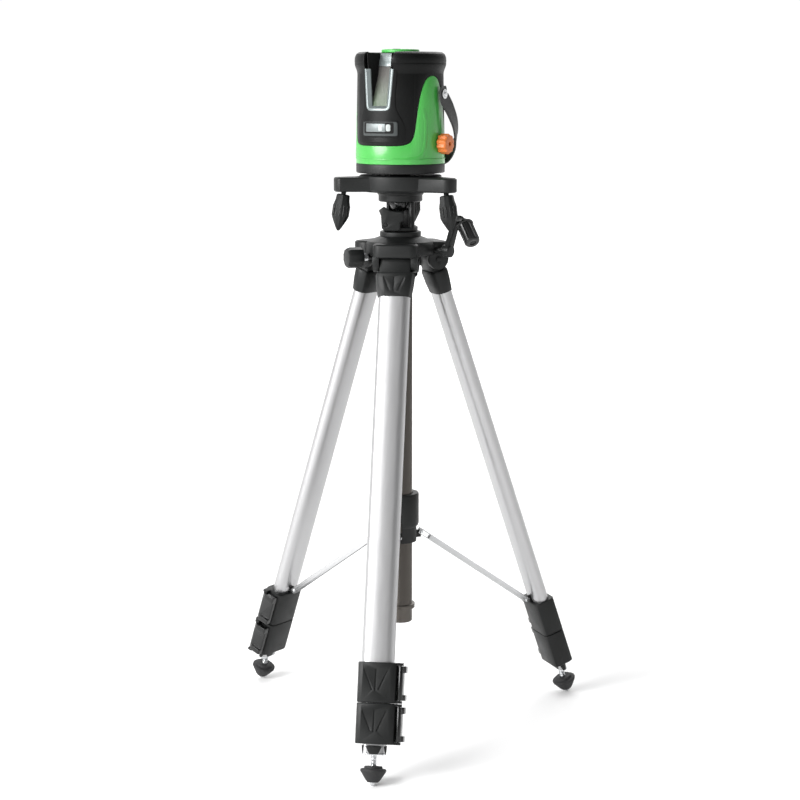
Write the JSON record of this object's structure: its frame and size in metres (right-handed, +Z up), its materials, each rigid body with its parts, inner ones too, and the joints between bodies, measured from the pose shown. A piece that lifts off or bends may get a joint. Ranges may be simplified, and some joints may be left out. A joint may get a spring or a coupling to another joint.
{
  "type": "laser level on tripod",
  "caption": "Cross-line laser level on a telescopic elevator tripod, with levelling screws, a cranked centre column, folding legs, flip-lock clamps and a sliding spreader.",
  "frame": {"origin": "on the ground under the middle of the bounding box", "axes": "+Z up, the front leg points to -Y"},
  "size_m": [0.4236, 0.3816, 0.8115],
  "materials": {
    "silver_tube": "satin anodised",
    "brace_alloy": "bare pressed strip",
    "steel": "plated",
    "black_plastic": "fine grain",
    "black_rubber": "matt moulded",
    "green_plastic": "satin",
    "orange_plastic": "satin",
    "window_glass": "clear"
  },
  "bodies": {
    "tripod": {"crown": "black_plastic", "centre_tube": "silver_tube"},
    "spreader": {"spreader_hub": "black_plastic"},
    "front_leg": {"front_leg_top": "black_plastic", "front_upper_tube": "silver_tube", "front_upper_clamp": "black_plastic"},
    "front_upper_lever": {"front_upper_lever": "black_plastic"},
    "front_middle": {"front_middle_tube": "silver_tube", "front_lower_clamp": "black_plastic"},
    "front_lower_lever": {"front_lower_lever": "black_plastic"},
    "front_lower": {"front_lower_tube": "silver_tube", "front_foot_spike": "steel"},
    "front_foot": {"front_rubber_foot": "black_rubber"},
    "front_brace": {"front_brace": "brace_alloy"},
    "right_leg": {"right_leg_top": "black_plastic", "right_upper_tube": "silver_tube", "right_upper_clamp": "black_plastic"},
    "right_upper_lever": {"right_upper_lever": "black_plastic"},
    "right_middle": {"right_middle_tube": "silver_tube", "right_lower_clamp": "black_plastic"},
    "right_lower_lever": {"right_lower_lever": "black_plastic"},
    "right_lower": {"right_lower_tube": "silver_tube", "right_foot_spike": "steel"},
    "right_foot": {"right_rubber_foot": "black_rubber"},
    "right_brace": {"right_brace": "brace_alloy"},
    "left_leg": {"left_leg_top": "black_plastic", "left_upper_tube": "silver_tube", "left_upper_clamp": "black_plastic"},
    "left_upper_lever": {"left_upper_lever": "black_plastic"},
    "left_middle": {"left_middle_tube": "silver_tube", "left_lower_clamp": "black_plastic"},
    "left_lower_lever": {"left_lower_lever": "black_plastic"},
    "left_lower": {"left_lower_tube": "silver_tube", "left_foot_spike": "steel"},
    "left_foot": {"left_rubber_foot": "black_rubber"},
    "left_brace": {"left_brace": "brace_alloy"},
    "column": {"elevator_column": "silver_tube"},
    "crank": {"crank_pinion": "steel", "crank_arm": "black_plastic"},
    "grip_fold": {"grip_spindle": "steel"},
    "grip": {"crank_grip": "black_plastic"},
    "lock_knob": {"lock_knob": "black_plastic"},
    "head": {"head_yoke": "black_plastic", "platform": "black_plastic", "laser_base": "black_plastic"},
    "pan_lever": {"pan_lever": "black_plastic"},
    "mount_screw": {"mount_screw": "black_plastic"},
    "rear_level_screw": {"rear_level_screw": "black_plastic"},
    "left_level_screw": {"left_level_screw": "black_plastic"},
    "right_level_screw": {"right_level_screw": "black_plastic"},
    "laser": {"turntable_ring": "black_plastic", "green_case": "green_plastic", "black_cover": "black_plastic", "top_rim": "black_rubber", "front_window": "window_glass", "keypad": "green_plastic"},
    "mode_button": {"mode_button": "black_rubber"},
    "pendulum": {"pendulum": "steel"},
    "fine_knob": {"fine_knob": "orange_plastic"},
    "carry_bail": {"carry_bail": "black_rubber"}
  },
  "joints": [
    {"name": "front_leg_fold", "type": "hinge", "parent": "tripod", "child": "front_leg", "pos_m": [0, 0.01255, 0.56751], "axis": [1, 0, 0], "range_deg": [0, 15]},
    {"name": "front_brace_swing", "type": "hinge", "parent": "front_leg", "child": "front_brace", "pos_m": [0, -0.12006, 0.12933], "axis": [1, 0, 0], "range_deg": [0, 31.3]},
    {"name": "front_upper_lever_flip", "type": "hinge", "parent": "front_leg", "child": "front_upper_lever", "pos_m": [0.0271, -0.15833, 0.09267], "axis": [0, -0.3246, -0.9459], "range_deg": [0, 100]},
    {"name": "front_lower_lever_flip", "type": "hinge", "parent": "front_middle", "child": "front_lower_lever", "pos_m": [0.0271, -0.1731, 0.04963], "axis": [0, -0.3246, -0.9459], "range_deg": [0, 100]},
    {"name": "front_middle_extend", "type": "slide", "parent": "front_leg", "child": "front_middle", "axis": [0, -0.3246, -0.9459], "range_m": [0, 0.34]},
    {"name": "front_lower_extend", "type": "slide", "parent": "front_middle", "child": "front_lower", "axis": [0, -0.3246, -0.9459], "range_m": [0, 0.34]},
    {"name": "front_foot_screw_up", "type": "slide", "parent": "front_lower", "child": "front_foot", "axis": [0, 0.3246, 0.9459], "range_m": [0, 0.01]},
    {"name": "right_leg_fold", "type": "hinge", "parent": "tripod", "child": "right_leg", "pos_m": [0.03322, 0.07008, 0.56751], "axis": [-0.5, 0.866, 0], "range_deg": [0, 15]},
    {"name": "right_brace_swing", "type": "hinge", "parent": "right_leg", "child": "right_brace", "pos_m": [0.14805, 0.13638, 0.12933], "axis": [-0.5, 0.866, 0], "range_deg": [0, 31.3]},
    {"name": "right_upper_lever_flip", "type": "hinge", "parent": "right_leg", "child": "right_upper_lever", "pos_m": [0.16765, 0.17898, 0.09267], "axis": [0.2811, 0.1623, -0.9459], "range_deg": [0, 100]},
    {"name": "right_lower_lever_flip", "type": "hinge", "parent": "right_middle", "child": "right_lower_lever", "pos_m": [0.18044, 0.18637, 0.04963], "axis": [0.2811, 0.1623, -0.9459], "range_deg": [0, 100]},
    {"name": "right_middle_extend", "type": "slide", "parent": "right_leg", "child": "right_middle", "axis": [0.2811, 0.1623, -0.9459], "range_m": [0, 0.34]},
    {"name": "right_lower_extend", "type": "slide", "parent": "right_middle", "child": "right_lower", "axis": [0.2811, 0.1623, -0.9459], "range_m": [0, 0.34]},
    {"name": "right_foot_screw_up", "type": "slide", "parent": "right_lower", "child": "right_foot", "axis": [-0.2811, -0.1623, 0.9459], "range_m": [0, 0.01]},
    {"name": "left_leg_fold", "type": "hinge", "parent": "tripod", "child": "left_leg", "pos_m": [-0.03322, 0.07008, 0.56751], "axis": [-0.5, -0.866, 0], "range_deg": [0, 15]},
    {"name": "left_brace_swing", "type": "hinge", "parent": "left_leg", "child": "left_brace", "pos_m": [-0.14805, 0.13638, 0.12933], "axis": [-0.5, -0.866, 0], "range_deg": [0, 31.3]},
    {"name": "left_upper_lever_flip", "type": "hinge", "parent": "left_leg", "child": "left_upper_lever", "pos_m": [-0.19475, 0.13204, 0.09267], "axis": [-0.2811, 0.1623, -0.9459], "range_deg": [0, 100]},
    {"name": "left_lower_lever_flip", "type": "hinge", "parent": "left_middle", "child": "left_lower_lever", "pos_m": [-0.20754, 0.13943, 0.04963], "axis": [-0.2811, 0.1623, -0.9459], "range_deg": [0, 100]},
    {"name": "left_middle_extend", "type": "slide", "parent": "left_leg", "child": "left_middle", "axis": [-0.2811, 0.1623, -0.9459], "range_m": [0, 0.34]},
    {"name": "left_lower_extend", "type": "slide", "parent": "left_middle", "child": "left_lower", "axis": [-0.2811, 0.1623, -0.9459], "range_m": [0, 0.34]},
    {"name": "left_foot_screw_up", "type": "slide", "parent": "left_lower", "child": "left_foot", "axis": [0.2811, -0.1623, 0.9459], "range_m": [0, 0.01]},
    {"name": "spreader_slide", "type": "slide", "parent": "tripod", "child": "spreader", "axis": [0, 0, 1], "range_m": [0, 0.05]},
    {"name": "column_slide", "type": "slide", "parent": "tripod", "child": "column", "axis": [0, 0, 1], "range_m": [0, 0.2]},
    {"name": "crank_turn", "type": "hinge", "parent": "tripod", "child": "crank", "pos_m": [0.00876, 0.06607, 0.578], "axis": [-0.866, 0.5, 0], "range_deg": [0, 1433]},
    {"name": "grip_fold", "type": "hinge", "parent": "crank", "child": "grip_fold", "pos_m": [0.07432, 0.04663, 0.61381], "axis": [-0.4568, -0.7912, 0.4067], "range_deg": [-12, 50]},
    {"name": "grip_spin", "type": "hinge", "parent": "grip_fold", "child": "grip", "pos_m": [0.07432, 0.04663, 0.61381], "axis": [0.4009, -0.5912, -0.6998], "continuous": true},
    {"name": "lock_knob_turn", "type": "hinge", "parent": "tripod", "child": "lock_knob", "pos_m": [-0.02598, 0.0359, 0.5705], "axis": [-0.866, -0.5, 0], "range_deg": [0, 360]},
    {"name": "head_pan", "type": "hinge", "parent": "column", "child": "head", "pos_m": [0, 0.0509, 0.62], "axis": [0, 0, 1], "range_deg": [-65, 10]},
    {"name": "pan_lever_swing", "type": "hinge", "parent": "head", "child": "pan_lever", "pos_m": [-0.014, 0.0279, 0.6085], "axis": [0, -1, 0], "range_deg": [0, 60]},
    {"name": "mount_screw_turn", "type": "hinge", "parent": "head", "child": "mount_screw", "pos_m": [0, 0.0509, 0.63], "axis": [0, 0, 1], "continuous": true},
    {"name": "rear_level_screw_turn", "type": "hinge", "parent": "head", "child": "rear_level_screw", "pos_m": [0.00415, 0.12078, 0.6468], "axis": [-0.0098, -0.1648, 0.9863], "continuous": true},
    {"name": "left_level_screw_turn", "type": "hinge", "parent": "head", "child": "left_level_screw", "pos_m": [-0.06259, 0.01956, 0.6468], "axis": [0.1476, 0.0739, 0.9863], "continuous": true},
    {"name": "right_level_screw_turn", "type": "hinge", "parent": "head", "child": "right_level_screw", "pos_m": [0.05844, 0.01237, 0.6468], "axis": [-0.1378, 0.0909, 0.9863], "continuous": true},
    {"name": "laser_turn", "type": "hinge", "parent": "head", "child": "laser", "pos_m": [0, 0.0509, 0.669], "axis": [0, 0, 1], "continuous": true},
    {"name": "mode_button_press", "type": "slide", "parent": "laser", "child": "mode_button", "axis": [0, 0, -1], "range_m": [0, 0.0005], "stiffness_N_per_m": 600},
    {"name": "pendulum_swing", "type": "hinge", "parent": "laser", "child": "pendulum", "pos_m": [0, 0.0509, 0.774], "axis": [0.9184, -0.3955, 0], "range_deg": [-4, 4]},
    {"name": "fine_knob_turn", "type": "hinge", "parent": "laser", "child": "fine_knob", "pos_m": [0.04888, 0.0342, 0.703], "axis": [0.9184, -0.3955, 0], "continuous": true},
    {"name": "carry_bail_swing", "type": "hinge", "parent": "laser", "child": "carry_bail", "pos_m": [0.00237, 0.05641, 0.76], "axis": [0.9184, -0.3955, 0], "range_deg": [0, 150]}
  ],
  "couplings": [
    {"joint": "front_brace_swing", "follows": "front_leg_fold", "ratio": 2.07},
    {"joint": "right_leg_fold", "follows": "front_leg_fold", "ratio": 1},
    {"joint": "right_brace_swing", "follows": "front_leg_fold", "ratio": 2.07},
    {"joint": "left_leg_fold", "follows": "front_leg_fold", "ratio": 1},
    {"joint": "left_brace_swing", "follows": "front_leg_fold", "ratio": 2.07},
    {"joint": "spreader_slide", "follows": "front_leg_fold", "m_per_rad": 0.19},
    {"joint": "crank_turn", "follows": "column_slide", "rad_per_m": 125}
  ]
}
